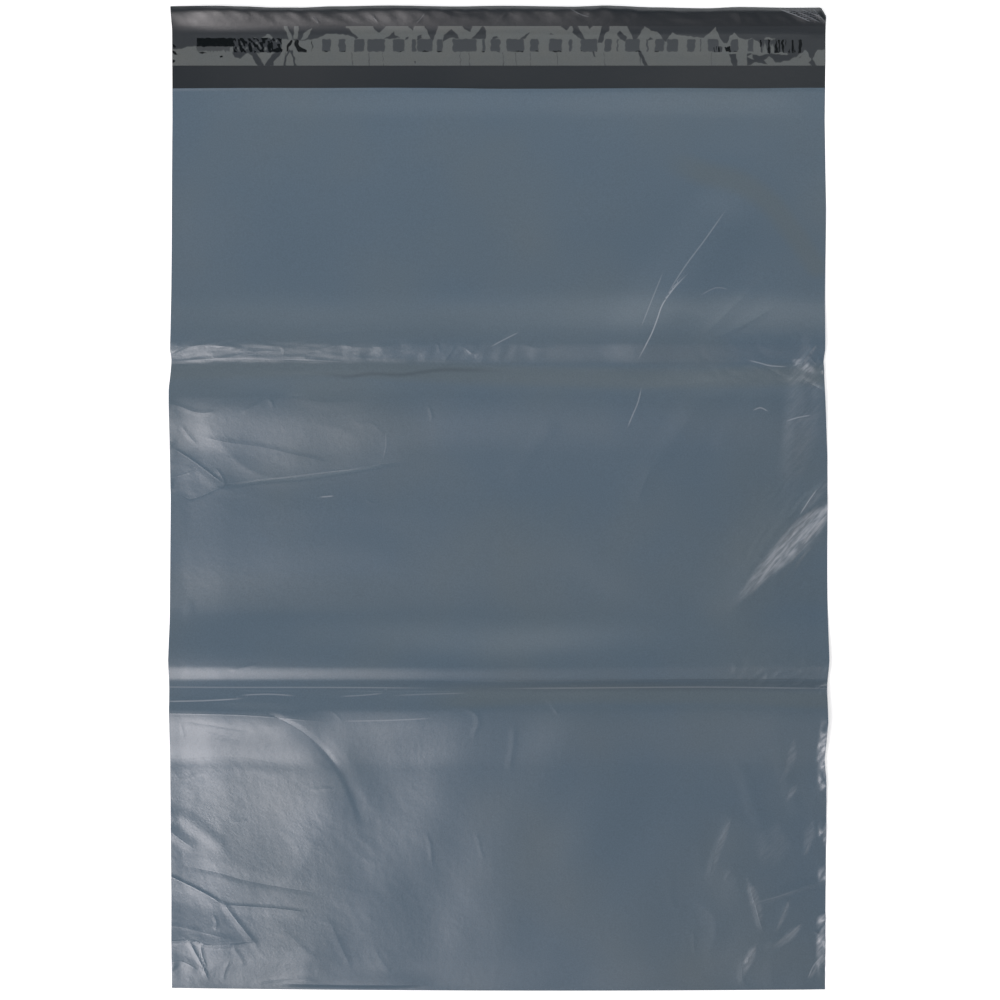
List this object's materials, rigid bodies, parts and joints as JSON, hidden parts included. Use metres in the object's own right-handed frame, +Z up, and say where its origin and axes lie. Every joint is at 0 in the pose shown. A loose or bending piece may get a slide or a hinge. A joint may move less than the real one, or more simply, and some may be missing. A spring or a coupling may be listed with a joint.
{
  "type": "poly mailer bag",
  "caption": "Flat opaque film mailing bag lying open and empty, with welded sides, a folded bottom, cross creases and a closing lip that carries an adhesive strip under a peel-off liner.",
  "frame": {"origin": "under the middle of the bag's length and width, on the surface that it lies on", "axes": "+Y along the bag from the bottom fold to the lip, +X across the bag, +Z up out of the front panel"},
  "size_m": [0.402, 0.6, 0.0064],
  "materials": {
    "film": "semi-gloss polyethylene film, grey outside and black inside",
    "adhesive": "dark tacky hot-melt adhesive",
    "liner": "thin silvery grey release film, clinging where it touches"
  },
  "bodies": {
    "root": {"bag_film": "film", "adhesive_strip": "adhesive", "release_liner": "liner"}
  },
  "joints": []
}
